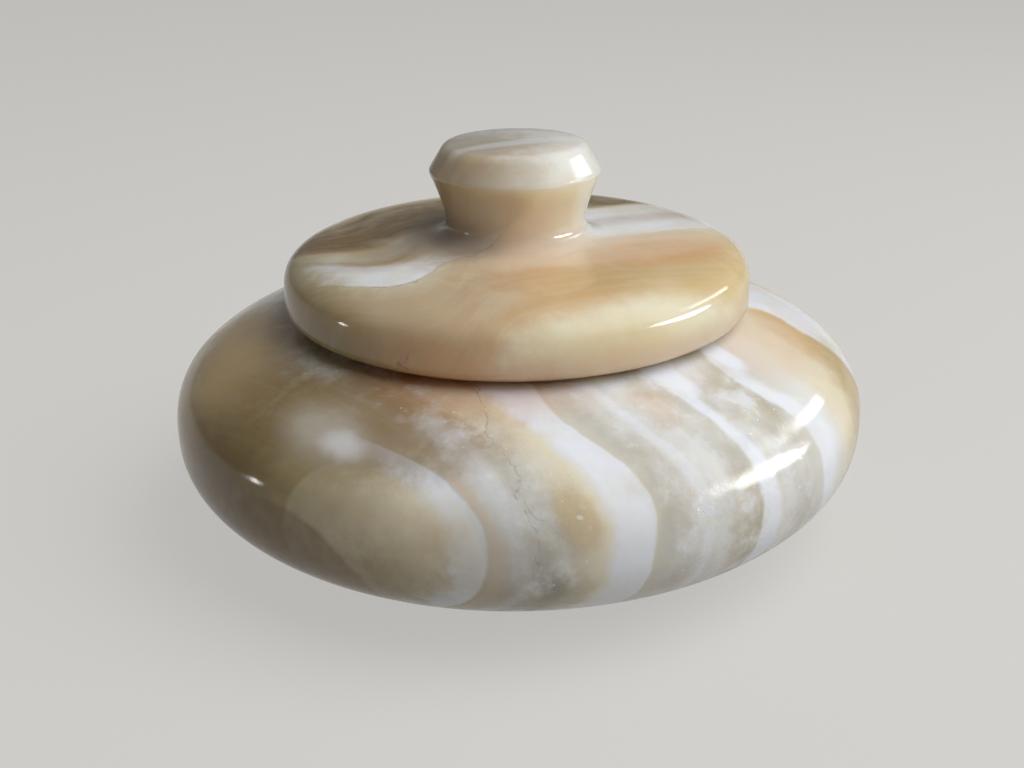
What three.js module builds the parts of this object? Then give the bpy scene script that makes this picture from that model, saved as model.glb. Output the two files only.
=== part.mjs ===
// A squat lidded jar turned from banded onyx marble: a hollow bowl, and a lid with its knob in one piece of stone.
// Millimetres, +Z up. The origin is the centre of the flat foot, on the surface that the jar stands on.

import * as THREE from "three";

// Bowl, outside. The belly is its widest ring, and the underside and the shoulder both leave it upright.
const BELLY_RADIUS = 50;
const BELLY_HEIGHT = 17.4;
const FOOT_RADIUS = 22;
const BOWL_HEIGHT = 32;
const UNDERSIDE_FULLNESS_SHARE = 2.3;
const SHOULDER_FULLNESS_SHARE = 2.65;

// Bowl, inside. A straight throat takes the lid's spigot, and the hollow widens below it.
const MOUTH_RADIUS = 24.5;
const MOUTH_EASE = 0.8;
const RIM_WIDTH = 6.5;
const THROAT_DEPTH = 6.5;
const BELLY_WALL = 11;
const FLOOR_THICKNESS = 7;
const FLOOR_RADIUS = 18;
const HOLLOW_FULLNESS_SHARE = 2;

// Lid. It rests on the flat rim with a ring round the spigot, and stands out past the rim all round.
const SEAT_WIDTH = 4.1;
const LID_OVERHANG = 2.5;
const LID_WIDEST_RISE = 2.3;
const LID_THICKNESS = 10.7;
const LID_FULLNESS_SHARE = 4.4;
const LID_CORNER_FULLNESS_SHARE = 2;

// Spigot under the lid, which centres it in the throat
const SPIGOT_CLEARANCE = 0.6;
const SPIGOT_DEPTH = 4;
const SPIGOT_EASE = 0.9;

// Knob, cut from the lid's own stone: a cove round the neck, a flare, a bevel and a slightly crowned top
const NECK_RADIUS = 10;
const NECK_FLAT_WIDTH = 1.5;
const COVE_WIDTH = 2.6;
const COVE_HEIGHT = 2.3;
const COVE_FULLNESS_SHARE = 2;
const FLARE_START_HEIGHT = 1.8;
const FLARE_HEIGHT = 5.3;
const KNOB_RADIUS = 12.25;
const KNOB_EDGE_EASE = 0.4;
const BEVEL_HEIGHT = 3.65;
const KNOB_TOP_RADIUS = 10;
const KNOB_TOP_EASE = 0.9;
const KNOB_CROWN = 0.6;

// Smoothness: flat faces round the jar, and steps along each curve of the outlines
const FACETS = 72;
const SWELL_STEPS = 9;
const SWEEP_STEPS = 4;
const EASE_STEPS = 2;

const STONE = {
  bowl: new THREE.MeshStandardMaterial({ color: "#d6cbb6", roughness: 0.22, metalness: 0 }),
  lid: new THREE.MeshStandardMaterial({ color: "#cfb995", roughness: 0.18, metalness: 0 }),
};

function at(radius, height) {
  return new THREE.Vector2(radius, height);
}

// A superellipse from the ring where the outline stands upright to the ring where it ends. The outline would be
// level at levelRadius. A fullness of 2 is an ellipse, and a larger one is squarer.
function swell(upright, end, levelRadius, fullness) {
  const reach = upright.x - levelRadius;
  const endAngle = Math.acos(((end.x - levelRadius) / reach) ** (fullness / 2));
  const height = (end.y - upright.y) / Math.sin(endAngle) ** (2 / fullness);
  const points = [upright];
  for (let step = 1; step < SWELL_STEPS; step++) {
    const angle = (endAngle * step) / SWELL_STEPS;
    const across = Math.cos(angle) ** (2 / fullness);
    const along = Math.sin(angle) ** (2 / fullness);
    points.push(at(levelRadius + reach * across, upright.y + height * along));
  }
  points.push(end);
  return points;
}

// A curve that leaves its first point towards the middle one and arrives at its last point from there
function sweep(first, middle, last, steps) {
  return new THREE.QuadraticBezierCurve(first, middle, last).getPoints(steps);
}

// A corner between two straight sides, polished round over the length of the ease on each side
function eased(before, corner, after, ease) {
  const start = corner.clone().lerp(before, ease / corner.distanceTo(before));
  const end = corner.clone().lerp(after, ease / corner.distanceTo(after));
  return sweep(start, corner, end, EASE_STEPS);
}

// A solid of revolution about Z from an outline that starts and ends on the axis
function turned(name, material, outline) {
  const geometry = new THREE.LatheGeometry(outline, FACETS);
  geometry.rotateX(Math.PI / 2);
  const mesh = new THREE.Mesh(geometry, material);
  mesh.name = name;
  return mesh;
}

// The bowl's outline, from the middle of the foot round the outside, over the rim and down to the floor
function bowlOutline() {
  const foot = at(FOOT_RADIUS, 0);
  const belly = at(BELLY_RADIUS, BELLY_HEIGHT);
  const rim = at(MOUTH_RADIUS + RIM_WIDTH, BOWL_HEIGHT);
  const mouth = at(MOUTH_RADIUS, BOWL_HEIGHT);
  const throat = at(MOUTH_RADIUS, BOWL_HEIGHT - THROAT_DEPTH);
  const hollow = at(BELLY_RADIUS - BELLY_WALL, BELLY_HEIGHT);
  const floor = at(FLOOR_RADIUS, FLOOR_THICKNESS);
  return [
    at(0, foot.y),
    ...swell(belly, foot, 0, UNDERSIDE_FULLNESS_SHARE).reverse(),
    ...swell(belly, rim, 0, SHOULDER_FULLNESS_SHARE).slice(1),
    ...eased(rim, mouth, throat, MOUTH_EASE),
    ...swell(hollow, throat, 0, HOLLOW_FULLNESS_SHARE).reverse(),
    ...swell(hollow, floor, 0, HOLLOW_FULLNESS_SHARE).slice(1),
    at(0, floor.y),
  ];
}

// The lid's outline, from under the spigot round the rim and up over the knob to the middle of its top
function lidOutline() {
  const spigotRadius = MOUTH_RADIUS - SPIGOT_CLEARANCE;
  const seat = at(MOUTH_RADIUS + SEAT_WIDTH, BOWL_HEIGHT);
  const spigotRoot = at(spigotRadius, seat.y);
  const spigotEnd = at(spigotRadius, seat.y - SPIGOT_DEPTH);
  const underside = at(0, spigotEnd.y);
  const widest = at(MOUTH_RADIUS + RIM_WIDTH + LID_OVERHANG, seat.y + LID_WIDEST_RISE);
  const cove = at(NECK_RADIUS + COVE_WIDTH, seat.y + LID_THICKNESS);
  const flat = at(cove.x + NECK_FLAT_WIDTH, cove.y);
  const neck = at(NECK_RADIUS, cove.y + COVE_HEIGHT);
  const flareStart = at(NECK_RADIUS, neck.y + FLARE_START_HEIGHT);
  const knobEdge = at(KNOB_RADIUS, flareStart.y + FLARE_HEIGHT);
  const topEdge = at(KNOB_TOP_RADIUS, knobEdge.y + BEVEL_HEIGHT);
  const top = at(0, topEdge.y + KNOB_CROWN);
  const crown = at(KNOB_TOP_RADIUS / 2, top.y);
  const knobEdgeCurve = eased(flareStart, knobEdge, topEdge, KNOB_EDGE_EASE);
  const topEdgeCurve = eased(knobEdge, topEdge, crown, KNOB_TOP_EASE);
  return [
    underside,
    ...eased(underside, spigotEnd, spigotRoot, SPIGOT_EASE),
    spigotRoot,
    ...swell(widest, seat, seat.x, LID_CORNER_FULLNESS_SHARE).reverse(),
    ...swell(widest, flat, 0, LID_FULLNESS_SHARE).slice(1),
    ...swell(neck, cove, cove.x, COVE_FULLNESS_SHARE).reverse(),
    ...sweep(neck, flareStart, knobEdgeCurve[0], SWEEP_STEPS).slice(1),
    ...knobEdgeCurve.slice(1),
    ...topEdgeCurve,
    ...sweep(topEdgeCurve.at(-1), crown, top, SWEEP_STEPS).slice(1),
  ];
}

const group = new THREE.Group();
group.add(turned("jar_body", STONE.bowl, bowlOutline()));
group.add(turned("lid", STONE.lid, lidOutline()));

export default group;
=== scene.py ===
"""Looks of a lidded jar turned from banded onyx marble, laid out as a Blender add-on and run as a script.

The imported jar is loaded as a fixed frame. The bowl and the lid are each turned again from the same sizes with
fine faces, in Geometry Nodes, and are given the banded stone that they are cut from. All stone patterns are
solid: a growth layer goes over the shoulder, down the wall and across the inside.
"""

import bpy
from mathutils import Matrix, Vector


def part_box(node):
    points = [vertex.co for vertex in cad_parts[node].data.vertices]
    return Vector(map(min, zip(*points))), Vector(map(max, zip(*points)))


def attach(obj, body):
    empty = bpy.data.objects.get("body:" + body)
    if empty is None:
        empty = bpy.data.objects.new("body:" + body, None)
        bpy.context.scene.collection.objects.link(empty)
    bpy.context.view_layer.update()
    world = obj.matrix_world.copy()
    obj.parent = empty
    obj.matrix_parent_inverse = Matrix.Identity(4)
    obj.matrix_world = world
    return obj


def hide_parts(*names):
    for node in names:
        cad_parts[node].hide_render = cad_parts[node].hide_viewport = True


bl_info = {
    "name": "Onyx Marble Jar",
    "version": (1, 0, 0),
    "blender": (4, 5, 0),
    "location": "View3D > Sidebar > Onyx Jar",
    "description": "Turns the bowl and lid of a banded onyx marble jar around its packed frame",
    "category": "Object",
}

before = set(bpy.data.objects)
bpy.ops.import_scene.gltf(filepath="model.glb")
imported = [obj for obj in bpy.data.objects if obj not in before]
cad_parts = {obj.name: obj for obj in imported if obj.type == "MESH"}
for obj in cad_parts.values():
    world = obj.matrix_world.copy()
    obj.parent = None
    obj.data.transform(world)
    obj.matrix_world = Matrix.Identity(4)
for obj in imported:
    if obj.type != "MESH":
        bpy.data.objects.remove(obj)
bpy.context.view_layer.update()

import math
from collections import namedtuple

import bmesh
import bpy
from bpy.props import FloatProperty, FloatVectorProperty, IntProperty, PointerProperty
from mathutils import Matrix, Vector

BOWL_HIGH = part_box("jar_body")[1]
LID_LOW, LID_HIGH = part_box("lid")

MM = 0.001
MM_PER_METRE = 1000


def linear(hex_colour):
    """The linear red, green, blue and alpha of an sRGB hex colour."""
    shares = [int(hex_colour[start:start + 2], 16) / 255 for start in (1, 3, 5)]
    return tuple(c / 12.92 if c <= 0.04045 else ((c + 0.055) / 1.055) ** 2.4 for c in shares) + (1.0,)


def length(name, description, default):
    return FloatProperty(
        name=name, description=description, default=default, min=0, unit="LENGTH", precision=5
    )


def share(name, description, default, low=0.0, high=1.0):
    return FloatProperty(
        name=name, description=description, default=default, min=low, max=high, subtype="FACTOR"
    )


def colour(name, description, hex_colour):
    return FloatVectorProperty(
        name=name, description=description, default=linear(hex_colour),
        size=4, min=0, max=1, subtype="COLOR",
    )


class BowlSizes(bpy.types.PropertyGroup):
    """Sizes of the bowl, as the frame's own bowl has them"""

    belly_radius: length("Belly Radius", "Radius at the widest ring", BOWL_HIGH.x)
    belly_height: length("Belly Height", "Height of the widest ring", 17.4 * MM)
    foot_radius: length("Foot Radius", "Radius of the flat foot", 22 * MM)
    height: length("Height", "Height of the flat rim", BOWL_HIGH.z)
    rim_radius: length("Rim Radius", "Outer radius of the flat rim", 31 * MM)
    mouth_radius: length("Mouth Radius", "Radius of the mouth and the throat", 24.5 * MM)
    mouth_ease: length("Mouth Ease", "Rounding of the mouth's edge", 0.8 * MM)
    throat_depth: length("Throat Depth", "Depth of the straight throat", 6.5 * MM)
    belly_wall: length("Belly Wall", "Thickness of the wall at the belly", 11 * MM)
    floor_thickness: length("Floor Thickness", "Thickness of the stone under the hollow", 7 * MM)
    floor_radius: length("Floor Radius", "Radius of the hollow's flat floor", 18 * MM)
    underside_fullness: share("Underside Fullness", "2 is an ellipse, more is squarer", 2.3, 1, 8)
    shoulder_fullness: share("Shoulder Fullness", "2 is an ellipse, more is squarer", 2.65, 1, 8)
    hollow_fullness: share("Hollow Fullness", "2 is an ellipse, more is squarer", 2, 1, 8)


class LidSizes(bpy.types.PropertyGroup):
    """Sizes of the lid and its knob, as the frame's own lid has them"""

    radius: length("Radius", "Radius at the widest ring", LID_HIGH.x)
    widest_rise: length("Widest Rise", "Height of the widest ring above the seat", 2.3 * MM)
    thickness: length("Thickness", "From the seat to the flat round the neck", 10.7 * MM)
    fullness: share("Fullness", "2 is an ellipse, more is squarer", 4.4, 1, 8)
    corner_fullness: share("Corner Fullness", "2 is an ellipse, more is squarer", 2, 1, 8)
    seat_radius: length("Seat Radius", "Outer radius of the ring that lies on the rim", 28.6 * MM)
    spigot_radius: length("Spigot Radius", "Radius of the spigot in the throat", 23.9 * MM)
    spigot_ease: length("Spigot Ease", "Rounding of the spigot's edge", 0.9 * MM)
    neck_radius: length("Neck Radius", "Radius of the knob's neck", 10 * MM)
    flat_width: length("Flat Width", "Width of the flat outside the cove", 1.5 * MM)
    cove_width: length("Cove Width", "How far the cove reaches out from the neck", 2.6 * MM)
    cove_height: length("Cove Height", "How far the cove climbs up the neck", 2.3 * MM)
    cove_fullness: share("Cove Fullness", "2 is an ellipse, more is squarer", 2, 1, 8)
    flare_start: length("Flare Start", "From the top of the cove to where the neck turns out", 1.8 * MM)
    flare_height: length("Flare Height", "From there to the knob's edge", 5.3 * MM)
    knob_radius: length("Knob Radius", "Radius of the knob at its edge", 12.25 * MM)
    knob_edge_ease: length("Knob Edge Ease", "Rounding of the knob's edge", 0.4 * MM)
    bevel_height: length("Bevel Height", "From the knob's edge to the rim of its top", 3.65 * MM)
    knob_top_radius: length("Knob Top Radius", "Radius of the knob's top", 10 * MM)
    knob_top_ease: length("Knob Top Ease", "Rounding of the rim of the top", 0.9 * MM)


class FinishSizes(bpy.types.PropertyGroup):
    """How finely the stone is turned and how even its polish is"""

    bowl_facets: IntProperty(name="Bowl Facets", description="Faces round the bowl", default=480, min=24)
    lid_facets: IntProperty(name="Lid Facets", description="Faces round the lid", default=400, min=24)
    shown_step: length("Shown Step", "Length of a face along an outline in plain view", 0.46 * MM)
    hidden_step: length("Hidden Step", "Length of a face along a hidden outline", 2 * MM)
    unevenness: length("Unevenness", "Deepest hollow left by hand polishing", 0.16 * MM)
    unevenness_width: length("Unevenness Width", "Width of such a hollow", 14 * MM)


class StoneColours(bpy.types.PropertyGroup):
    """Colours of the stone's layers"""

    milk: colour("Milk", "Opaque white layers", "#e9edf5")
    frost: colour("Frost", "Cloudy crystal", "#dfe0df")
    ivory: colour("Ivory", "Warm white layers of the lid", "#dedbcb")
    smoke: colour("Smoke", "Clear grey crystal", "#cccbc5")
    slate: colour("Slate", "Dark grey crystal", "#a19c8f")
    cream: colour("Cream", "Cloudy pale layers", "#e3dbc5")
    sand: colour("Sand", "Pale yellow layers", "#dac7a0")
    honey: colour("Honey", "Clear yellow layers", "#bfa473")
    olive: colour("Olive", "Clear greenish layers", "#a4966e")
    # This deep amber also paints shade where its patches darken the bowl's left and underside.
    amber: colour("Amber", "Deep brown-yellow layers", "#72561f")
    # Peach also paints the glow round the lid's lower rim.
    peach: colour("Peach", "Pink-brown stain", "#dcc2a7")
    tan: colour("Tan", "Warm brown layers of the lid", "#cfa573")
    # Besides iron stain, this colour paints the orange glow along the lid's seat, where light comes through the
    # stone.
    rust: colour("Rust", "Iron stain along a layer", "#bb8557")
    dun: colour("Dun", "Grey-brown layers of the lid", "#b5a28a")
    seam: colour("Seam", "Healed cracks and thin dirt lines", "#665b4d")


class StageSettings(bpy.types.PropertyGroup):
    """Floor, light and camera"""

    floor: colour("Floor", "The floor as it is seen", "#e8e6e2")
    paper: colour("Paper", "The floor's own colour, which light bounces off", "#aeaca8")
    camera_distance: length("Camera Distance", "From the camera to the aim point", 192.4 * MM)
    camera_lens: FloatProperty(name="Lens", description="Focal length in millimetres", default=45.7, min=1)


# Steps along each curve of an outline
SWELL_STEPS = 96
SWEEP_STEPS = 12
EASE_STEPS = 4

# Rings closer than this are one ring
SAME_RING = 0.01 * MM

# The bowl's shoulder leaves out its last rings, and runs straight on to the sharp rim
RIM_GAP_RINGS = 4


def swell(upright, end, level_radius, fullness):
    """A superellipse from the ring where the outline stands upright to its end.

    It would be level at level_radius.
    """
    reach = upright[0] - level_radius
    end_angle = math.acos(((end[0] - level_radius) / reach) ** (fullness / 2))
    height = (end[1] - upright[1]) / math.sin(end_angle) ** (2 / fullness)
    points = [upright]
    for step in range(1, SWELL_STEPS):
        angle = end_angle * step / SWELL_STEPS
        across = math.cos(angle) ** (2 / fullness)
        along = math.sin(angle) ** (2 / fullness)
        points.append((level_radius + reach * across, upright[1] + height * along))
    return points + [end]


def sweep(first, middle, last, steps=SWEEP_STEPS):
    """A curve that leaves its first point towards the middle one and arrives at its last from there."""
    points = []
    for step in range(steps + 1):
        t = step / steps
        weights = ((1 - t) ** 2, 2 * t * (1 - t), t ** 2)
        points.append(tuple(sum(w * p[i] for w, p in zip(weights, (first, middle, last))) for i in (0, 1)))
    return points


def eased(before, corner, after, ease):
    """A corner between two straight sides, polished round over the length of the ease on each side."""
    start = Vector(corner).lerp(Vector(before), ease / math.dist(corner, before))
    end = Vector(corner).lerp(Vector(after), ease / math.dist(corner, after))
    return sweep(tuple(start), corner, tuple(end), EASE_STEPS)


def spaced(points, step):
    """The same line with its points an even step apart, its two ends kept."""
    lengths = [math.dist(a, b) for a, b in zip(points, points[1:])]
    total = sum(lengths)
    count = max(1, round(total / step))
    placed = []
    segment = 0
    passed = 0.0
    for index in range(count):
        target = total * index / count
        while passed + lengths[segment] < target:
            passed += lengths[segment]
            segment += 1
        along = (target - passed) / lengths[segment] if lengths[segment] else 0
        placed.append(tuple(Vector(points[segment]).lerp(Vector(points[segment + 1]), along)))
    return placed + [points[-1]]


def joined(*stretches):
    """One outline of rings from stretches that each hold points and how much hand polishing shows."""
    rings = []
    for points, polish in stretches:
        for point in points:
            if not rings or math.dist(point, rings[-1][0]) > SAME_RING:
                rings.append((point, polish))
    return rings


def bowl_rings(sizes, finish):
    """The bowl's outline from the middle of the foot round the outside, over the rim and to the floor."""
    foot = (sizes.foot_radius, 0)
    belly = (sizes.belly_radius, sizes.belly_height)
    rim = (sizes.rim_radius, sizes.height)
    mouth = (sizes.mouth_radius, sizes.height)
    throat = (sizes.mouth_radius, sizes.height - sizes.throat_depth)
    hollow = (sizes.belly_radius - sizes.belly_wall, sizes.belly_height)
    floor = (sizes.floor_radius, sizes.floor_thickness)
    underside = swell(belly, foot, 0, sizes.underside_fullness)[::-1]
    shoulder = swell(belly, rim, 0, sizes.shoulder_fullness)
    hollow_top = swell(hollow, throat, 0, sizes.hollow_fullness)[::-1]
    hollow_base = swell(hollow, floor, 0, sizes.hollow_fullness)
    lip = eased(rim, mouth, throat, sizes.mouth_ease)
    shown = finish.shown_step
    hidden = finish.hidden_step
    level = 2 * hidden
    return joined(
        (spaced([(0, 0), foot], level), 0),
        (spaced(underside, shown), 1),
        (spaced(shoulder, shown)[:-RIM_GAP_RINGS], 1),
        ([rim], 0),
        (lip, 0),
        (spaced([lip[-1], throat], hidden), 0),
        (spaced(hollow_top, hidden), 0),
        (spaced(hollow_base, hidden), 0),
        (spaced([floor, (0, sizes.floor_thickness)], level), 0),
    )


def lid_rings(sizes, finish, seat_height):
    """The lid's outline from under the spigot round the rim and up over the knob to its top."""
    underside = (0, LID_LOW.z)
    spigot_end = (sizes.spigot_radius, LID_LOW.z)
    spigot_root = (sizes.spigot_radius, seat_height)
    seat = (sizes.seat_radius, seat_height)
    widest = (sizes.radius, seat_height + sizes.widest_rise)
    cove = (sizes.neck_radius + sizes.cove_width, seat_height + sizes.thickness)
    flat = (cove[0] + sizes.flat_width, cove[1])
    neck = (sizes.neck_radius, cove[1] + sizes.cove_height)
    flare_start = (sizes.neck_radius, neck[1] + sizes.flare_start)
    knob_edge = (sizes.knob_radius, flare_start[1] + sizes.flare_height)
    top_edge = (sizes.knob_top_radius, knob_edge[1] + sizes.bevel_height)
    top = (0, LID_HIGH.z)
    crown = (sizes.knob_top_radius / 2, LID_HIGH.z)
    edge_curve = eased(flare_start, knob_edge, top_edge, sizes.knob_edge_ease)
    top_curve = eased(knob_edge, top_edge, crown, sizes.knob_top_ease)
    spigot_curve = eased(underside, spigot_end, spigot_root, sizes.spigot_ease)
    under_edge = swell(widest, seat, seat[0], sizes.corner_fullness)[::-1]
    dome = swell(widest, flat, 0, sizes.fullness)
    cove_curve = swell(neck, cove, cove[0], sizes.cove_fullness)[::-1]
    flare = sweep(neck, flare_start, edge_curve[0])
    shown = finish.shown_step
    fine = shown / 1.6
    finest = shown / 2
    hidden = finish.hidden_step
    return joined(
        (spaced([underside, spigot_curve[0]], hidden), 0),
        (spigot_curve, 0),
        (spaced([spigot_curve[-1], spigot_root], hidden), 0),
        (spaced([spigot_root, seat], hidden), 0),
        (spaced(under_edge, finest)[1:], 1),
        (spaced(dome, fine), 1),
        (spaced([flat, cove], shown), 1),
        (spaced(cove_curve, finest), 0.5),
        (spaced(flare, fine), 0.5),
        (edge_curve, 0.5),
        (spaced([edge_curve[-1], top_curve[0]], fine), 0.5),
        (top_curve, 0.5),
        (spaced(sweep(top_curve[-1], crown, top), shown), 0.5),
    )


# Inputs of a Mix node for colours, by number, because their names repeat for each kind of data
MIX_FACTOR, MIX_A, MIX_B = 0, 6, 7


def add(tree, kind, inputs=None, **settings):
    """Adds a node with its settings. Each input, named or numbered, takes a value, a socket or a node."""
    made = tree.nodes.new(kind)
    for name, value in settings.items():
        setattr(made, name, value)
    for socket, value in (inputs or {}).items():
        if isinstance(value, bpy.types.Node):
            value = next(output for output in value.outputs if output.enabled)
        if isinstance(value, bpy.types.NodeSocket):
            tree.links.new(value, made.inputs[socket])
        else:
            made.inputs[socket].default_value = value
    return made


LATHE_NAME = "Turned on a lathe"


def lathe_tree():
    """Geometry Nodes that turn an outline of rings round the Z axis, uneven as hand polishing leaves it."""
    tree = bpy.data.node_groups.new(LATHE_NAME, "GeometryNodeTree")
    sockets = (
        ("Rings", "NodeSocketGeometry", None),
        ("Ring Count", "NodeSocketInt", 2),
        ("Facets", "NodeSocketInt", 72),
        ("Unevenness", "NodeSocketFloat", 0.0),
        ("Unevenness Width", "NodeSocketFloat", 0.01),
        ("Stone", "NodeSocketMaterial", None),
    )
    for name, kind, default in sockets:
        socket = tree.interface.new_socket(name, in_out="INPUT", socket_type=kind)
        if default is not None:
            socket.default_value = default
    tree.interface.new_socket("Turned Piece", in_out="OUTPUT", socket_type="NodeSocketGeometry")
    given = add(tree, "NodeGroupInput").outputs

    # A grid with a column of points for each facet and a row for each ring, and how polished each ring is
    columns = add(tree, "ShaderNodeMath", {0: given["Facets"], 1: 1.0}, operation="ADD")
    grid = add(tree, "GeometryNodeMeshGrid", {
        "Size X": 1.0, "Size Y": 1.0, "Vertices X": columns, "Vertices Y": given["Ring Count"],
    })
    index = add(tree, "GeometryNodeInputIndex")
    ring = add(tree, "ShaderNodeMath", {0: index, 1: given["Ring Count"]}, operation="MODULO")
    polish = add(tree, "GeometryNodeInputNamedAttribute", {"Name": "polish"}, data_type="FLOAT")
    polish_here = add(tree, "GeometryNodeSampleIndex", {
        "Geometry": given["Rings"], "Value": polish, "Index": ring,
    }, data_type="FLOAT", domain="POINT")
    blank = add(tree, "GeometryNodeStoreNamedAttribute", {
        "Geometry": grid, "Name": "polish", "Value": polish_here,
    }, data_type="FLOAT", domain="POINT")

    # Each column goes to the rings of the outline, turned round the axis. The last closes on the first.
    column = add(tree, "ShaderNodeMath", {0: index, 1: given["Ring Count"]}, operation="DIVIDE")
    turn = add(tree, "ShaderNodeMath", {0: column}, operation="FLOOR")
    turn_share = add(tree, "ShaderNodeMath", {0: turn, 1: given["Facets"]}, operation="DIVIDE")
    angle = add(tree, "ShaderNodeMath", {0: turn_share, 1: math.tau}, operation="MULTIPLY")
    here = add(tree, "GeometryNodeInputPosition")
    outline = add(tree, "GeometryNodeSampleIndex", {
        "Geometry": given["Rings"], "Value": here, "Index": ring,
    }, data_type="FLOAT_VECTOR", domain="POINT")
    turned = add(tree, "ShaderNodeVectorRotate", {
        "Vector": outline, "Angle": angle,
    }, rotation_type="Z_AXIS")
    shaped = add(tree, "GeometryNodeSetPosition", {"Geometry": blank, "Position": turned})
    closed = add(tree, "GeometryNodeMergeByDistance", {"Geometry": shaped, "Distance": SAME_RING / 2})

    # Hand polishing leaves shallow hollows, only ever inwards from the turned outline
    density = add(tree, "ShaderNodeMath", {0: 1.0, 1: given["Unevenness Width"]}, operation="DIVIDE")
    noise = add(tree, "ShaderNodeTexNoise", {
        "Vector": here, "Scale": density, "Detail": 2.0, "Roughness": 0.45,
    })
    depth = add(tree, "ShaderNodeMath", {0: noise, 1: given["Unevenness"]}, operation="MULTIPLY")
    masked = add(tree, "ShaderNodeMath", {0: depth, 1: polish}, operation="MULTIPLY")
    inward = add(tree, "ShaderNodeMath", {0: masked, 1: -1.0}, operation="MULTIPLY")
    normal = add(tree, "GeometryNodeInputNormal")
    hollow = add(tree, "ShaderNodeVectorMath", {0: normal, "Scale": inward}, operation="SCALE")
    polished = add(tree, "GeometryNodeSetPosition", {"Geometry": closed, "Offset": hollow})
    smooth = add(tree, "GeometryNodeSetShadeSmooth", {"Geometry": polished})
    real = add(tree, "GeometryNodeRealizeInstances", {"Geometry": smooth})
    stone = add(tree, "GeometryNodeSetMaterial", {"Geometry": real, "Material": given["Stone"]})
    add(tree, "NodeGroupOutput", {0: stone})
    return tree


def turn_piece(name, rings, facets, finish, stone):
    """Turns the rings with the lathe tree and returns the result as a plain closed mesh."""
    wire = bpy.data.meshes.new(name + "_rings")
    wire.from_pydata([(point[0], 0, point[1]) for point, _ in rings], [], [])
    polish = wire.attributes.new("polish", "FLOAT", "POINT")
    polish.data.foreach_set("value", [amount for _, amount in rings])
    blank = bpy.data.objects.new(name + "_blank", wire)
    bpy.context.scene.collection.objects.link(blank)
    tree = bpy.data.node_groups.get(LATHE_NAME) or lathe_tree()
    lathe = blank.modifiers.new("Lathe", "NODES")
    lathe.node_group = tree
    values = {
        "Ring Count": len(rings),
        "Facets": facets,
        "Unevenness": finish.unevenness,
        "Unevenness Width": finish.unevenness_width,
        "Stone": stone,
    }
    for socket in tree.interface.items_tree:
        if socket.in_out == "INPUT" and socket.name in values:
            lathe[socket.identifier] = values[socket.name]
    bpy.context.view_layer.update()
    evaluated = blank.evaluated_get(bpy.context.evaluated_depsgraph_get())
    mesh = bpy.data.meshes.new_from_object(evaluated)
    mesh.name = name
    if "polish" in mesh.attributes:
        mesh.attributes.remove(mesh.attributes["polish"])
    bpy.data.objects.remove(blank)
    piece = bpy.data.objects.new(name, mesh)
    bpy.context.scene.collection.objects.link(piece)
    face_outwards(piece)
    return piece


def face_outwards(piece):
    """Turns every face of a closed piece to point out of the stone."""
    shape = bmesh.new()
    shape.from_mesh(piece.data)
    bmesh.ops.recalc_face_normals(shape, faces=shape.faces)
    if shape.calc_volume(signed=True) < 0:
        bmesh.ops.reverse_faces(shape, faces=shape.faces)
    shape.to_mesh(piece.data)
    shape.free()


# A layer with this since runs all the way along
EVERYWHERE = -1000

Layer = namedtuple("Layer", "starts ends start_fade end_fade tint strength since", defaults=(EVERYWHERE,))
Patch = namedtuple("Patch", "centre reach fade tint strength")
Seam = namedtuple("Seam", "knots width strength")
Block = namedtuple(
    "Block", "name normal ring fold stations ground layers stains clouds seams clear streaks glow"
)
Stone = namedtuple("Stone", "depth along travel own wisps")
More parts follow.
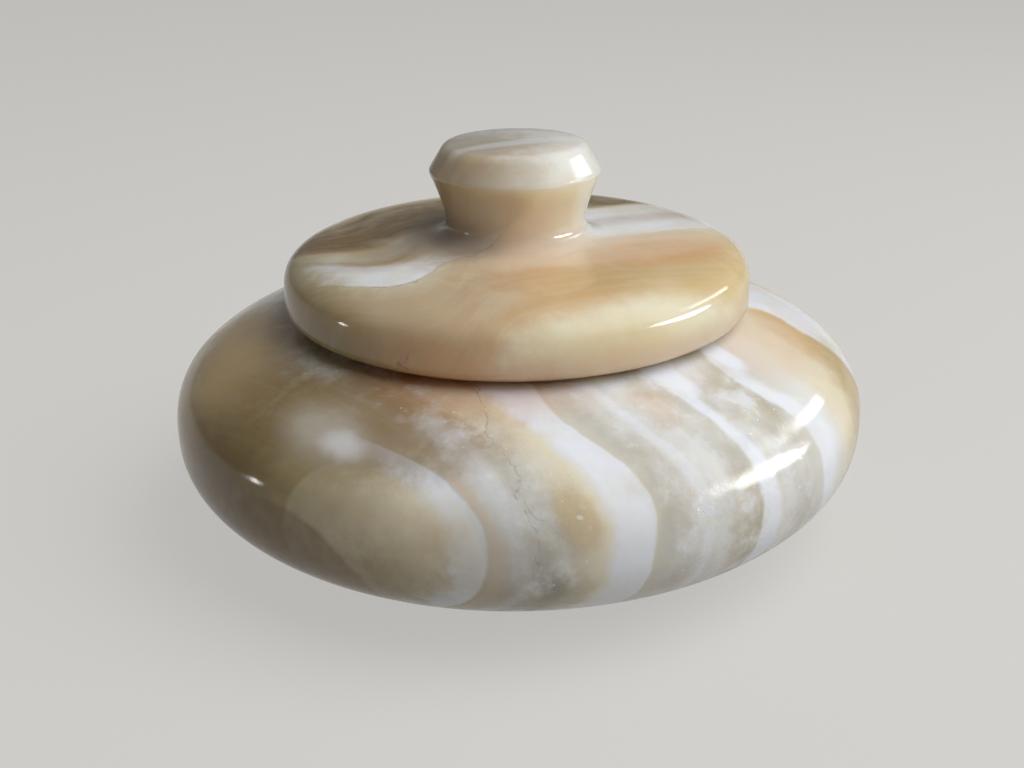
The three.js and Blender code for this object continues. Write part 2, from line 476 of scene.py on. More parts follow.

# Each block has its own directions. Depth runs across the growth layers, along the block's normal. Along runs
# level and crosswise to it. Both are in millimetres from the jar's axis, and height is from the foot. Travel
# is where one stands on a layer. With a ring, given as radius and height, it is the angle in degrees round
# that ring: 90 at the bowl's rim, 0 at its belly and below 0 on its underside. Without one it equals along.
# A layer's edges are depths at the block's stations of travel, or one depth for all of them. One with since
# begins where along reaches it. A fold shifts all layers, by its depth at each travel. Ground is the slow
# change of tint from depth to depth. Patches are egg-shaped, with their centre and reach as depth, along and
# height. Patches under the layers are stains, and those over them are clouds; both lists also hold patches of
# painted light and shade. Clear stretches are broken crystal, from depth to depth. Streaks is how strong the
# growth lines are, and glow how many millimetres light goes in.
BOWL_BLOCK = Block(
    name="Onyx marble, polished, upright layers",
    normal=(0.70, 0.713, 0.035),
    ring=(31, 17.4),
    fold=(),
    stations=(90, 70, 50, 32, 15, 0, -20),
    ground=(
        (-50, "honey"), (-46, "olive"), (-42, "cream"), (-38, "smoke"), (-35, "smoke"), (-30, "smoke"),
        (-27, "cream"), (-20, "smoke"), (-12, "frost"), (-8.5, "smoke"), (-2, "frost"), (2, "smoke"),
        (10, "frost"), (15, "cream"), (20, "cream"), (24, "sand"), (37, "sand"), (43, "smoke"),
        (47, "honey"), (50, "amber"),
    ),
    layers=(
        Layer((-46, -44.5, -42.6, -40.9, -39.8, -40.1, -40.6), (-43, -42, -40.6, -38, -37.3, -37.5, -38.2),
              3.2, 0.5, "milk", 0.85, 11),
        Layer((-42.8, -41.8, -40.3, -37.7, -37, -37.2, -37.9), (-41.5, -40.5, -39, -36.6, -36, -36.2, -37),
              0.6, 1, "peach", 0.5, 24),
        Layer((-33, -34, -35.2, -35.8, -35.8, -35.4, -35), (-31.8, -32.4, -32.4, -33, -33.6, -34, -34.2),
              2.4, 1.6, "milk", 0.5, 16),
        Layer(-30.5, -25.8, 2, 1, "cream", 0.45, 12),
        Layer((-24.2, -25.6, -26.1, -25.9, -26.2, -26.5, -27.2),
              (-19.6, -21.5, -22.2, -21.4, -21.1, -21.9, -22.4), 2.2, 0.45, "milk", 0.95, 12),
        Layer((-15.6, -16.4, -16.9, -16.4, -16.1, -16.1, -16.3),
              (-14.2, -14.9, -15.4, -14.6, -14.2, -14.6, -15), 1, 0.8, "milk", 0.5, 6),
        Layer((-7.2, -7.7, -7.5, -7.2, -7.1, -7.3, -7.8), (-2.2, -5, -5.5, -5.3, -4.3, -3.8, -4.3),
              0.8, 1.2, "milk", 0.9),
        Layer((4, 1.9, 2.3, 4.6, 5.8, 6.2, 6.5), (8, 5, 5.2, 8.5, 10.6, 10, 9.6), 1, 3, "milk", 0.9),
        Layer((20.5, 25, 25.2, 27, 28.2, 28.5, 28.5), 38, 1.3, 4, "milk", 0.95),
        Layer(42, 44, 1, 1.5, "milk", 0.6),
    ),
    stains=(
        Patch((-46, 24, 17), (9.5, 16.5, 13.5), 0.05, "cream", 0.7),
        Patch((-43, 22, 8), (10, 20, 10), 0.9, "olive", 0.6),
        Patch((-34, 14, 32), (9, 17, 6), 0.8, "dun", 0.9),
        # Orange under the lid's front left edge: partly a stain, partly painted glow of light coming through
        # the stone.
        Patch((-31, 16, 33), (5, 12, 4), 0.9, "rust", 0.35),
        Patch((-28.8, 39, 22), (1.8, 8, 4.2), 0.9, "honey", 0.8),
        Patch((-30.3, 37, 11), (2.4, 10, 5.5), 0.8, "amber", 0.5),
        Patch((-33.6, 35, 13), (2.4, 10, 6.5), 0.8, "slate", 0.5),
        Patch((-11.5, 37, 30.4), (2.5, 6, 1.9), 0.9, "tan", 0.3),
        Patch((-9.2, 48, 16), (2.8, 9, 9), 0.8, "olive", 0.45),
        Patch((0, 42, 28.3), (3.6, 9, 3.4), 0.8, "olive", 0.35),
        Patch((14, 37, 31), (9, 12, 2.8), 0.8, "peach", 0.4),
        Patch((22.5, 34, 29.5), (3.8, 12, 3.8), 0.9, "tan", 0.5),
        Patch((25, 38, 18), (9, 16, 9), 0.9, "honey", 0.65),
        Patch((26.5, 39, 23), (7, 14, 6), 0.9, "olive", 0.4),
        # Two tiny white spots: a painted glint on the polish.
        Patch((-28.2, 41, 23.6), (0.5, 2, 0.5), 0.6, "milk", 1),
        Patch((-28.9, 40, 22.6), (0.35, 2, 0.3), 0.6, "milk", 0.9),
    ),
    clouds=(
        Patch((-42, -6, 19.5), (16, 14.5, 11), 0.05, "olive", 0.3),
        Patch((-46, -4, 28), (12, 24, 14), 0.8, "olive", 0.6),
        # Amber on the left shoulder: partly the stone's own tint, partly painted shade on the side away from
        # the soft box.
        Patch((-50, -9, 27), (9, 15, 14), 0.8, "amber", 0.65),
        Patch((-37, 8, 28), (11, 17, 4), 0.8, "amber", 0.55),
        Patch((-33, -18, 29), (12, 18, 3.2), 0.8, "amber", 0.7),
        Patch((-42, 9, 29.5), (4, 7, 4), 1.2, "frost", 0.35),
        Patch((-41.6, 12, 27.8), (1.8, 3, 1.6), 1.2, "milk", 0.5),
        # Amber towards the lower left: partly the stone's own tint, partly painted shade of the underside.
        Patch((-46, 0, 4), (12, 26, 13), 0.9, "amber", 0.6),
        Patch((-48, 6, 8), (14, 13.3, 12.4), 0.08, "amber", 0.45),
        Patch((-38, -28, 24), (14, 18, 20), 0.9, "honey", 0.7),
        # Orange on the shoulder just under the lid's front edge: painted glow of light coming through the
        # stone.
        Patch((-24, 18, 33.5), (11, 20, 3.6), 0.7, "rust", 0.35),
        # Two white spots at the tops of two white layers under the lid's edge: partly the layers' white, partly
        # painted light.
        Patch((-5.2, 34, 31.2), (1.7, 4.5, 1.8), 0.8, "milk", 0.9),
        Patch((5.2, 33.5, 31.4), (1.7, 5, 1.7), 0.8, "milk", 0.9),
    ),
    seams=(
        Seam(((88, -24.8), (70, -27.2), (50, -30.2), (38, -31), (30, -31.8), (24, -33), (17, -33.3)),
             0.1, 0.36),
        Seam(((25, -33), (17, -32.6), (12, -31.6), (6, -30.2)), 0.1, 0.3),
        Seam(((20, -33.4), (10, -33.2), (0, -33.8), (-10, -34.4)), 0.09, 0.25),
    ),
    clear=((-36, -26.5), (-21.5, 4.5)),
    streaks=0.12,
    glow=7,
)
LID_BLOCK = Block(
    name="Onyx marble, polished, leaning layers",
    normal=(-0.39, 0.849, 0.357),
    ring=None,
    fold=((-34, -4), (-30, -1), (-27, 2.4), (-22, 5.2), (-18, 3.8), (-14, 0.7), (0, 0), (16, 1), (30, 0)),
    stations=(-34, -22, -12, 0, 10, 30),
    ground=(
        (-20, "sand"), (-15, "cream"), (-12.5, "cream"), (-10.5, "sand"), (3, "sand"), (9, "ivory"),
        (12.6, "ivory"), (14.5, "dun"), (16.5, "dun"), (18.5, "ivory"), (22, "sand"), (24.5, "amber"),
        (36, "amber"), (38, "honey"), (41, "sand"), (45, "honey"),
    ),
    layers=(
        Layer(8.4, (17, 15.4, 11.4, 10, 12, 12), 0.4, 2.6, "milk", 0.8),
        Layer(17.6, 22.4, 2, 2.4, "ivory", 0.3),
        Layer(11.5, 22.5, 2, 2.4, "milk", 0.65, 11),
        Layer(39.4, 41.6, 0.4, 1.6, "milk", 0.7),
    ),
    stains=(
        Patch((3, -3, 43), (7, 15, 8), 0.8, "peach", 0.65),
        Patch((-6.5, -8, 42), (7, 15, 8), 0.7, "tan", 0.65),
        Patch((-6, 12, 42), (7.5, 14, 7), 0.7, "honey", 0.6),
        Patch((0.4, 13, 42), (4.6, 11.5, 6), 0.7, "tan", 0.8),
        Patch((-4, -26, 41), (13, 17, 7), 0.9, "dun", 0.75),
        # Deep brown on the lid's top left of the knob: partly the stone's tint, partly painted shadow of the
        # knob.
        Patch((20.5, -25, 42), (5, 12, 6), 0.8, "amber", 0.5),
        Patch((19.5, -16, 42), (4.5, 7.5, 5), 0.8, "amber", 0.45),
    ),
    clouds=(
        Patch((15, -5, 49), (7.6, 12, 6.5), 0.12, "dun", 0.8),
        Patch((13, -8.5, 43), (6.5, 9, 4), 0.9, "dun", 0.9),
        Patch((14, -36, 39.5), (12, 7.5, 6), 0.9, "olive", 0.75),
        Patch((4, 9, 45), (6, 18, 7.2), 0.3, "peach", 0.5),
        Patch((20, 8, 59), (32, 32, 8.8), 0.2, "frost", 0.85),
        # Darker on the knob's left: partly grey-brown stone, partly painted shade on the side away from the
        # light.
        Patch((17, -12, 54), (8.5, 12.5, 6), 1.2, "dun", 0.95),
        Patch((9.5, -7, 53.5), (5, 6, 3.5), 1, "slate", 0.35),
        Patch((20, -9, 57), (6, 10, 4), 1, "slate", 0.7),
        Patch((17.6, 0, 57), (1.2, 12, 4), 0.8, "milk", 0.35),
        # Paler neck: painted light that lifts the shade under the knob, and a painted glow where light comes
        # through the neck.
        Patch((10, 0, 48.5), (14, 14, 5), 0.9, "cream", 0.35),
        Patch((8, 5, 47.5), (8, 6, 6), 1, "ivory", 0.45),
        # Peach round the lid's lower rim: painted glow of light coming through the rim, lifting the shade at
        # the seat.
        Patch((0, 0, 30), (60, 60, 6), 0.6, "peach", 0.85),
        # Orange on the lid's lower front rim: painted glow of light coming through the stone.
        Patch((-4, -14, 30), (20, 18, 6), 0.8, "rust", 0.35),
        Patch((-2, -28, 33.5), (10, 14, 4.5), 0.9, "tan", 0.6),
        Patch((0, -30, 39), (6, 9, 8), 0.8, "dun", 0.5),
        Patch((8, -38, 34), (24, 10.5, 9), 0.6, "olive", 0.9),
    ),
    seams=(
        Seam(((-32, 8.1), (-20, 8.0), (-6, 8.2)), 0.16, 0.4),
        Seam(((-27, -4.6), (-25.2, -4.0), (-24.4, -2.6)), 0.12, 0.5),
    ),
    clear=(),
    streaks=0.22,
    glow=14,
)


# Sizes of the stone's patterns, in millimetres. Grains and growth lines are longest along the layers, and have
# a share or a size for each of depth, along and height.
SWAY_WIDTH = 22
CLOUD_WIDTH = 9
LUMP_WIDTH = 4.5
WANDER_WIDTH = 3.2
WISP_WIDTH = 2.5
JITTER_WIDTH = 2.2
GRAIN_WIDTHS = (2.4, 0.8)
GRAIN_STRETCH = (1, 0.55, 0.7)
GRAIN_WARP_WIDTH = 1.1
GRAIN_WARP = 0.9
FLAKE_SPACING = 1.3
LINE_SIZES = (1.3, 24, 18)

# Broken crystal, from its dark hollows to its white lumps: where a tint begins and is full, and its strength
LUMPS = ((0.25, -0.35, 0.17, "slate"), (0.35, 0.95, 0.5, "frost"), (0.85, 1.4, 0.5, "milk"))


def lay(tree, below, mask, strength, tint):
    """Lays a tint over what is below, as far as the mask goes."""
    part = add(tree, "ShaderNodeMath", {0: mask, 1: strength}, operation="MULTIPLY")
    return add(tree, "ShaderNodeMix", {MIX_FACTOR: part, MIX_A: below, MIX_B: tint}, data_type="RGBA")


def ground_tint(tree, depth, stops, palette):
    """The slow change of tint from layer to layer."""
    low, high = stops[0][0], stops[-1][0]
    share_along = add(tree, "ShaderNodeMapRange", {"Value": depth, "From Min": low, "From Max": high})
    ramp = add(tree, "ShaderNodeValToRGB", {"Fac": share_along})
    elements = ramp.color_ramp.elements
    while len(elements) < len(stops):
        elements.new(0.5)
    for element, (position, name) in zip(elements, stops):
        element.position = (position - low) / (high - low)
        element.color = getattr(palette, name)
    return ramp


def drawn_line(tree, travel, knots):
    """The depth of a line drawn smoothly through knots of travel and depth, and level past its ends."""
    line = add(tree, "ShaderNodeFloatCurve", {"Value": travel})
    line.mapping.use_clip = False
    line.mapping.extend = "HORIZONTAL"
    first, *others, last = sorted(knots)
    points = line.mapping.curves[0].points
    points[0].location = first
    points[1].location = last
    for knot in others:
        points.new(*knot)
    line.mapping.update()
    return line


def layer_mask(tree, stone, layer, stations):
    """1 inside a growth layer. A wide fade breaks up into wisps."""
    mask = None
    sides = ((layer.starts, layer.start_fade, 0, 1), (layer.ends, layer.end_fade, 1, 0))
    for edges, fade, low, high in sides:
        edge = drawn_line(tree, stone.travel, zip(stations, edges)) if isinstance(edges, tuple) else edges
        past = add(tree, "ShaderNodeMath", {0: stone.depth, 1: edge}, operation="SUBTRACT")
        past = add(tree, "ShaderNodeMath", {
            0: stone.wisps, 1: 0.2 * fade, 2: past,
        }, operation="MULTIPLY_ADD")
        side = add(tree, "ShaderNodeMapRange", {
            "Value": past, "From Min": -fade / 2, "From Max": fade / 2, "To Min": low, "To Max": high,
        }, interpolation_type="SMOOTHSTEP")
        if mask is not None:
            side = add(tree, "ShaderNodeMath", {0: mask, 1: side}, operation="MULTIPLY")
        mask = side
    if layer.since != EVERYWHERE:
        ragged = add(tree, "ShaderNodeMath", {
            0: stone.wisps, 1: 2.0, 2: stone.along,
        }, operation="MULTIPLY_ADD")
        begun = add(tree, "ShaderNodeMapRange", {
            "Value": ragged, "From Min": layer.since - 2, "From Max": layer.since + 2,
        }, interpolation_type="SMOOTHSTEP")
        mask = add(tree, "ShaderNodeMath", {0: mask, 1: begun}, operation="MULTIPLY")
    return mask


def patch_mask(tree, stone, patch):
    """1 inside an egg-shaped patch with a ragged edge."""
    local = add(tree, "ShaderNodeMapping", {
        "Vector": stone.own, "Location": patch.centre, "Scale": patch.reach,
    }, vector_type="TEXTURE")
    far = add(tree, "ShaderNodeVectorMath", {0: local}, operation="LENGTH")
    ragged = add(tree, "ShaderNodeMath", {
        0: stone.wisps, 1: 0.15 * patch.fade, 2: far,
    }, operation="MULTIPLY_ADD")
    half = patch.fade / 2
    return add(tree, "ShaderNodeMapRange", {
        "Value": ragged, "From Min": 1 - half, "From Max": 1 + half, "To Min": 1, "To Max": 0,
    }, interpolation_type="SMOOTHSTEP")


def seam_mask(tree, stone, seam, jitter):
    """1 on a healed crack, a line about as wide as the seam says that wanders and fades at its ends."""
    line = drawn_line(tree, stone.travel, seam.knots)
    off = add(tree, "ShaderNodeMath", {0: stone.depth, 1: line}, operation="SUBTRACT")
    off = add(tree, "ShaderNodeMath", {0: jitter, 1: 0.5, 2: off}, operation="MULTIPLY_ADD")
    gap = add(tree, "ShaderNodeMath", {0: off}, operation="ABSOLUTE")
    inside = add(tree, "ShaderNodeMapRange", {
        "Value": gap, "From Min": 0, "From Max": seam.width, "To Min": 1, "To Max": 0,
    })
    first, last = min(seam.knots)[0], max(seam.knots)[0]
    mask = inside
    for end, low, high in ((first, 0, 1), (last, 1, 0)):
        fade = add(tree, "ShaderNodeMapRange", {
            "Value": stone.travel, "From Min": end - 1, "From Max": end + 1, "To Min": low, "To Max": high,
        })
        mask = add(tree, "ShaderNodeMath", {0: mask, 1: fade}, operation="MULTIPLY")
    open_here = add(tree, "ShaderNodeMapRange", {"Value": stone.wisps, "From Min": -0.35, "From Max": 0.25})
    return add(tree, "ShaderNodeMath", {0: mask, 1: open_here}, operation="MULTIPLY")


def stone_directions(tree, block):
    """A point's place in millimetres, and where it lies in the block, with the sway of real layers."""
    normal = Vector(block.normal).normalized()
    level = Vector((normal.y, -normal.x, 0)).normalized()
    coordinates = add(tree, "ShaderNodeTexCoord")
    place = add(tree, "ShaderNodeVectorMath", {
        0: coordinates.outputs["Object"], "Scale": MM_PER_METRE,
    }, operation="SCALE")
    height = add(tree, "ShaderNodeSeparateXYZ", {0: place}).outputs["Z"]
    along = add(tree, "ShaderNodeVectorMath", {0: place, 1: level}, operation="DOT_PRODUCT")
    travel = along
    if block.ring:
        flat = add(tree, "ShaderNodeVectorMath", {0: place, 1: (1, 1, 0)}, operation="MULTIPLY")
        radius = add(tree, "ShaderNodeVectorMath", {0: flat}, operation="LENGTH")
        out = add(tree, "ShaderNodeMath", {0: radius, 1: block.ring[0]}, operation="SUBTRACT")
        up = add(tree, "ShaderNodeMath", {0: height, 1: block.ring[1]}, operation="SUBTRACT")
        angle = add(tree, "ShaderNodeMath", {0: up, 1: out}, operation="ARCTAN2")
        travel = add(tree, "ShaderNodeMath", {0: angle}, operation="DEGREES")

    # Layers sway by up to half a millimetre, and their edges wander by up to a fifth of one
    sway = add(tree, "ShaderNodeTexNoise", {
        "Vector": place, "Scale": 1 / SWAY_WIDTH, "Detail": 1.0,
    }, normalize=False)
    wander = add(tree, "ShaderNodeTexNoise", {
        "Vector": place, "Scale": 1 / WANDER_WIDTH, "Detail": 4.0,
    }, normalize=False)
    depth = add(tree, "ShaderNodeVectorMath", {0: place, 1: normal}, operation="DOT_PRODUCT")
    depth = add(tree, "ShaderNodeMath", {0: sway, 1: 0.5, 2: depth}, operation="MULTIPLY_ADD")
    depth = add(tree, "ShaderNodeMath", {0: wander, 1: 0.2, 2: depth}, operation="MULTIPLY_ADD")
    if block.fold:
        fold = drawn_line(tree, travel, block.fold)
        depth = add(tree, "ShaderNodeMath", {0: depth, 1: fold}, operation="ADD")
    own = add(tree, "ShaderNodeCombineXYZ", {0: depth, 1: along, 2: height})
    wisps = add(tree, "ShaderNodeTexNoise", {
        "Vector": place, "Scale": 1 / WISP_WIDTH, "Detail": 6.0, "Roughness": 0.6,
    }, normalize=False)
    return place, Stone(depth, along, travel, own, wisps)


def broken_crystal(tree, place, stone, block, tint, palette):
    """Clear stretches of broken crystal: cloudy lumps, grains with their own tone, and white flakes."""
    window = None
    for low, high in block.clear:
        begun = add(tree, "ShaderNodeMapRange", {
            "Value": stone.depth, "From Min": low, "From Max": low + 2,
        })
        ended = add(tree, "ShaderNodeMapRange", {
            "Value": stone.depth, "From Min": high - 2, "From Max": high, "To Min": 1, "To Max": 0,
        })
        part = add(tree, "ShaderNodeMath", {0: begun, 1: ended}, operation="MULTIPLY")
        if window is not None:
            part = add(tree, "ShaderNodeMath", {0: window, 1: part}, operation="MAXIMUM")
        window = part
    if window is None:
        return tint, 0.0

    # Grains in two sizes, longer along the layers, with ragged outlines
    warp = add(tree, "ShaderNodeTexNoise", {
        "Vector": place, "Scale": 1 / GRAIN_WARP_WIDTH, "Detail": 4.0, "Roughness": 0.7,
    })
    bent = add(tree, "ShaderNodeVectorMath", {
        0: warp.outputs["Color"], 1: (GRAIN_WARP,) * 3, 2: stone.own,
    }, operation="MULTIPLY_ADD")
    mixed = add(tree, "ShaderNodeTexNoise", {
        "Vector": place, "Scale": 1 / LUMP_WIDTH, "Detail": 8.0, "Roughness": 0.6,
    }, normalize=False)
    for width in GRAIN_WIDTHS:
        stretched = add(tree, "ShaderNodeVectorMath", {
            0: bent, 1: tuple(stretch / width for stretch in GRAIN_STRETCH),
        }, operation="MULTIPLY")
        grains = add(tree, "ShaderNodeTexVoronoi", {"Vector": stretched, "Scale": 1.0})
        tone = add(tree, "ShaderNodeSeparateColor", {0: grains.outputs["Color"]})
        mixed = add(tree, "ShaderNodeMath", {0: tone, 1: 0.4, 2: mixed}, operation="MULTIPLY_ADD")
    for low, high, strength, name in LUMPS:
        mask = add(tree, "ShaderNodeMapRange", {"Value": mixed, "From Min": low, "From Max": high})
        mask = add(tree, "ShaderNodeMath", {0: mask, 1: window}, operation="MULTIPLY")
        tint = lay(tree, tint, mask, strength, getattr(palette, name))

    # White flakes up to 0.3 mm across, one in every third place, and dark pits in the wispy spots
    spots = add(tree, "ShaderNodeTexVoronoi", {"Vector": place, "Scale": 1 / FLAKE_SPACING})
    chosen = add(tree, "ShaderNodeSeparateColor", {0: spots.outputs["Color"]})
    size = add(tree, "ShaderNodeMapRange", {
        "Value": chosen, "From Min": 0.65, "From Max": 1, "To Max": 0.13,
    })
    flake = add(tree, "ShaderNodeMath", {0: spots.outputs["Distance"], 1: size}, operation="LESS_THAN")
    flake = add(tree, "ShaderNodeMath", {0: flake, 1: window}, operation="MULTIPLY")
    tint = lay(tree, tint, flake, 0.8, palette.milk)
    pits = add(tree, "ShaderNodeMapRange", {
        "Value": stone.wisps, "From Min": 0.75, "From Max": 0.95, "To Max": -1,
    })
    relief = add(tree, "ShaderNodeMath", {0: mixed, 1: 0.55, 2: pits}, operation="MULTIPLY_ADD")
    return tint, add(tree, "ShaderNodeMath", {0: relief, 1: window}, operation="MULTIPLY")


def onyx(block, palette):
    """Banded onyx marble, ground and polished: opaque white curtains stand in clear honey and grey calcite.

    The eye sees soft depth in the clear layers, sharp edges where a growth layer stopped, and a wet gloss.
    """
    material = bpy.data.materials.new(block.name)
    material.use_nodes = True
    tree = material.node_tree
    tree.nodes.clear()
    place, stone = stone_directions(tree, block)

    tint = ground_tint(tree, stone.depth, block.ground, palette)
    for patch in block.stains:
        tint = lay(tree, tint, patch_mask(tree, stone, patch), patch.strength, getattr(palette, patch.tint))
    clouding = add(tree, "ShaderNodeTexNoise", {
        "Vector": place, "Scale": 1 / CLOUD_WIDTH, "Detail": 5.0, "Roughness": 0.55,
    }, normalize=False)
    for far, strength, name in ((0.8, 0.25, "cream"), (-0.8, 0.2, "honey")):
        mask = add(tree, "ShaderNodeMapRange", {"Value": clouding, "From Min": 0, "From Max": far})
        tint = lay(tree, tint, mask, strength, getattr(palette, name))
    tint, relief = broken_crystal(tree, place, stone, block, tint, palette)

    # The layers are thinner where the stone is least cloudy
    thickness = add(tree, "ShaderNodeMapRange", {
        "Value": clouding, "From Min": -0.7, "From Max": 0.3, "To Min": 0.6,
    })
    for layer in block.layers:
        mask = layer_mask(tree, stone, layer, block.stations)
        mask = add(tree, "ShaderNodeMath", {0: mask, 1: thickness}, operation="MULTIPLY")
        tint = lay(tree, tint, mask, layer.strength, getattr(palette, layer.tint))
    for patch in block.clouds:
        tint = lay(tree, tint, patch_mask(tree, stone, patch), patch.strength, getattr(palette, patch.tint))

    # Growth lines: paler and darker lines about a millimetre apart, along the layers
    squeezed = add(tree, "ShaderNodeVectorMath", {
        0: stone.own, 1: tuple(1 / size for size in LINE_SIZES),
    }, operation="MULTIPLY")
    lines = add(tree, "ShaderNodeTexNoise", {
        "Vector": squeezed, "Scale": 1.0, "Detail": 4.0, "Roughness": 0.6,
    }, normalize=False)
    for far, strength, name in ((0.7, 0.4, "cream"), (-0.7, 0.3, "tan")):
        mask = add(tree, "ShaderNodeMapRange", {"Value": lines, "From Min": 0, "From Max": far})
        tint = lay(tree, tint, mask, strength * block.streaks, getattr(palette, name))

    jitter = add(tree, "ShaderNodeTexNoise", {
        "Vector": place, "Scale": 1 / JITTER_WIDTH, "Detail": 5.0, "Roughness": 0.6,
    }, normalize=False)
    height = add(tree, "ShaderNodeMath", {0: stone.wisps, 1: 0.03, 2: relief}, operation="MULTIPLY_ADD")
    for seam in block.seams:
        mask = seam_mask(tree, stone, seam, jitter)
        tint = lay(tree, tint, mask, seam.strength, palette.seam)
        height = add(tree, "ShaderNodeMath", {0: height, 1: mask}, operation="SUBTRACT")

    bump = add(tree, "ShaderNodeBump", {"Height": height, "Strength": 0.4, "Distance": 0.0002})
    roughness = add(tree, "ShaderNodeMapRange", {
        "Value": clouding, "From Min": -1, "From Max": 1, "To Min": 0.05, "To Max": 0.16,
    })
    shader = add(tree, "ShaderNodeBsdfPrincipled", {
        "Base Color": tint, "Roughness": roughness, "IOR": 1.55, "Normal": bump,
        "Subsurface Weight": 0.85, "Subsurface Radius": (1.0, 0.8, 0.45),
        "Subsurface Scale": block.glow * MM,
    })
    add(tree, "ShaderNodeOutputMaterial", {"Surface": shader})
    return material


class ONYXJAR_OT_bowl(bpy.types.Operator):
    """Turn the bowl from the block with the upright bands"""

    bl_idname = "onyxjar.bowl"
    bl_label = "Turn Bowl"

    def execute(self, context):
        scene = context.scene
        finish = scene.onyxjar_finish
        rings = bowl_rings(scene.onyxjar_bowl, finish)
        stone = onyx(BOWL_BLOCK, scene.onyxjar_colours)
        piece = turn_piece("bowl", rings, finish.bowl_facets, finish, stone)
        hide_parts("jar_body")
        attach(piece, "jar")
        return {"FINISHED"}


class ONYXJAR_OT_lid(bpy.types.Operator):
    """Turn the lid and its knob from the block with the leaning bands"""

    bl_idname = "onyxjar.lid"
    bl_label = "Turn Lid"

    def execute(self, context):
        scene = context.scene
        finish = scene.onyxjar_finish
        rings = lid_rings(scene.onyxjar_lid, finish, BOWL_HIGH.z)
        stone = onyx(LID_BLOCK, scene.onyxjar_colours)
        piece = turn_piece("lid_with_knob", rings, finish.lid_facets, finish, stone)
        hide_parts("lid")
        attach(piece, "lid")
        return {"FINISHED"}


FLOOR_SIZE = 6.0
FLOOR_SEEN = 0.6
FLOOR_MIRRORED = 0.45
ROOM_SEEN = 0.42
ROOM_MIRRORED = 0.15
ROOM_COLOUR = "#e9e7e3"
ROOM_LIGHT = 0.125
AIM_HEIGHT = 27.6 * MM
CLIP_START = 0.01
CAMERA_ELEVATION = math.radians(20.24)
CAMERA_PITCH = math.radians(-2.33)
CAMERA_YAW = math.radians(0.28)
CAMERA_ROLL = math.radians(-0.82)
LAMP_DISTANCE = 0.6

# The soft box lights the stone and has no reflection of its own. The others are seen only as highlights in
# the polish. Azimuth and elevation say where a lamp hangs, and roll how far it is turned about the line to
# the jar, in degrees. Width and height are in metres.
Lamp = namedtuple("Lamp", "name shape azimuth elevation roll width height watts highlight")
LAMPS = (
    Lamp("soft_box", "RECTANGLE", 66, 52, 0, 0.6, 0.6, 4.6, False),
    Lamp("window", "ELLIPSE", 82.5, 14, -8, 0.4, 0.095, 2.0, True),
    Lamp("high_window", "RECTANGLE", 111.5, 25.6, -25, 0.3, 0.07, 0.3, True),
    Lamp("left_lamp", "ELLIPSE", -85, 0, 0, 0.05, 0.05, 0.07, True),
)


class ONYXJAR_OT_stage(bpy.types.Operator):
    """Lay the pale floor, hang the soft lamps and set up the camera"""

    bl_idname = "onyxjar.stage"
    bl_label = "Set Stage"

    def execute(self, context):
        scene = context.scene
        settings = scene.onyxjar_stage
        make_floor(settings)
        for lamp in LAMPS:
            make_lamp(lamp)
        make_world()
        make_camera(settings)
        scene.view_settings.view_transform = "Standard"
        return {"FINISHED"}


def background_share(tree, direct, mirrored):
    """The share of even background that the camera sees and that shows in the polish, but gives no light."""
    path = add(tree, "ShaderNodeLightPath").outputs
    seen = add(tree, "ShaderNodeMath", {0: path["Is Camera Ray"], 1: direct}, operation="MULTIPLY")
    for kind in ("Is Glossy Ray", "Is Transmission Ray"):
        part = add(tree, "ShaderNodeMath", {0: path[kind], 1: mirrored}, operation="MULTIPLY")
        seen = add(tree, "ShaderNodeMath", {0: seen, 1: part}, operation="MAXIMUM")
    return seen


def make_floor(settings):
    half = FLOOR_SIZE / 2
    mesh = bpy.data.meshes.new("floor")
    corners = [(-half, -half, 0), (half, -half, 0), (half, half, 0), (-half, half, 0)]
    mesh.from_pydata(corners, [], [(0, 1, 2, 3)])
    material = bpy.data.materials.new("Matt studio paper, evenly lit")
    material.use_nodes = True
    tree = material.node_tree
    tree.nodes.clear()
    seen = background_share(tree, FLOOR_SEEN, FLOOR_MIRRORED)
    paper = add(tree, "ShaderNodeBsdfPrincipled", {
        "Base Color": settings.paper, "Roughness": 0.9, "Specular IOR Level": 0.2,
    })
    even = add(tree, "ShaderNodeEmission", {"Color": settings.floor, "Strength": 1.0})
    mixed = add(tree, "ShaderNodeMixShader", {0: seen, 1: paper, 2: even})
    add(tree, "ShaderNodeOutputMaterial", {"Surface": mixed})
    mesh.materials.append(material)
    floor = bpy.data.objects.new("floor", mesh)
    bpy.context.scene.collection.objects.link(floor)


def direction(azimuth, elevation):
    """The unit vector to a place round the jar. Azimuth 0 is towards the camera, 90 is to its right."""
    a, e = math.radians(azimuth), math.radians(elevation)
    return Vector((math.sin(a) * math.cos(e), -math.cos(a) * math.cos(e), math.sin(e)))


def make_lamp(lamp):
    light = bpy.data.lights.new(lamp.name, "AREA")
    light.shape = lamp.shape
    light.size = lamp.width
    light.size_y = lamp.height
    light.energy = lamp.watts
    holder = bpy.data.objects.new(lamp.name, light)
    holder.visible_glossy = lamp.highlight
    holder.visible_diffuse = not lamp.highlight
    outwards = direction(lamp.azimuth, lamp.elevation)
    holder.matrix_world = (
        Matrix.Translation(outwards * LAMP_DISTANCE + Vector((0, 0, AIM_HEIGHT)))
        @ outwards.to_track_quat("Z", "Y").to_matrix().to_4x4()
        @ Matrix.Rotation(math.radians(lamp.roll), 4, "Z")
    )
    bpy.context.scene.collection.objects.link(holder)


def make_world():
    world = bpy.data.worlds.new("Pale room")
    world.use_nodes = True
    tree = world.node_tree
    background = tree.nodes["Background"]
    background.inputs["Color"].default_value = linear(ROOM_COLOUR)
    seen = background_share(tree, ROOM_SEEN, ROOM_MIRRORED)
    strength = add(tree, "ShaderNodeMath", {0: seen, 1: ROOM_LIGHT}, operation="ADD")
    tree.links.new(strength.outputs[0], background.inputs["Strength"])
    bpy.context.scene.world = world


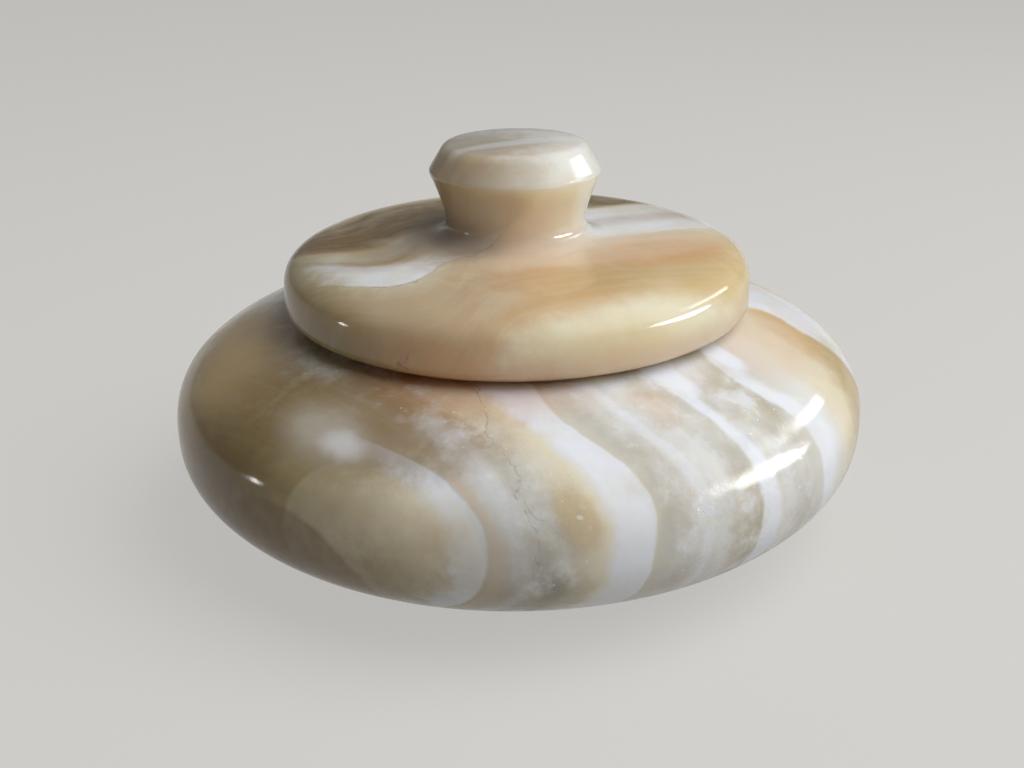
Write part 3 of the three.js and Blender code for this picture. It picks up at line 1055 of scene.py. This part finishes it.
def make_camera(settings):
    camera = bpy.data.cameras.new("Camera")
    camera.lens = settings.camera_lens
    camera.clip_start = CLIP_START
    holder = bpy.data.objects.new("Camera", camera)
    bpy.context.scene.collection.objects.link(holder)
    outwards = direction(0, math.degrees(CAMERA_ELEVATION))
    place = Vector((0, 0, AIM_HEIGHT)) + outwards * settings.camera_distance
    tilt = math.pi / 2 - CAMERA_ELEVATION + CAMERA_PITCH
    holder.matrix_world = (
        Matrix.Translation(place)
        @ Matrix.Rotation(CAMERA_YAW, 4, "Z")
        @ Matrix.Rotation(tilt, 4, "X")
        @ Matrix.Rotation(CAMERA_ROLL, 4, "Z")
    )
    bpy.context.scene.camera = holder


class ONYXJAR_PT_panel(bpy.types.Panel):
    """Sizes, colours and steps of the jar"""

    bl_label = "Onyx Jar"
    bl_idname = "ONYXJAR_PT_panel"
    bl_space_type = "VIEW_3D"
    bl_region_type = "UI"
    bl_category = "Onyx Jar"

    def draw(self, context):
        scene = context.scene
        for operator in OPERATORS:
            self.layout.operator(operator.bl_idname)
        for name in SETTINGS:
            box = self.layout.box()
            group = getattr(scene, name)
            box.label(text=SETTINGS[name].__name__)
            for prop in group.__annotations__:
                box.prop(group, prop)


OPERATORS = (ONYXJAR_OT_bowl, ONYXJAR_OT_lid, ONYXJAR_OT_stage)
SETTINGS = {
    "onyxjar_bowl": BowlSizes,
    "onyxjar_lid": LidSizes,
    "onyxjar_finish": FinishSizes,
    "onyxjar_colours": StoneColours,
    "onyxjar_stage": StageSettings,
}
CLASSES = (*SETTINGS.values(), *OPERATORS, ONYXJAR_PT_panel)


def register():
    for cls in CLASSES:
        bpy.utils.register_class(cls)
    for name, group in SETTINGS.items():
        setattr(bpy.types.Scene, name, PointerProperty(type=group))


def unregister():
    for name in SETTINGS:
        delattr(bpy.types.Scene, name)
    for cls in reversed(CLASSES):
        bpy.utils.unregister_class(cls)


def main():
    register()
    bpy.ops.onyxjar.bowl()
    bpy.ops.onyxjar.lid()
    bpy.ops.onyxjar.stage()


if __name__ == "__main__":
    main()
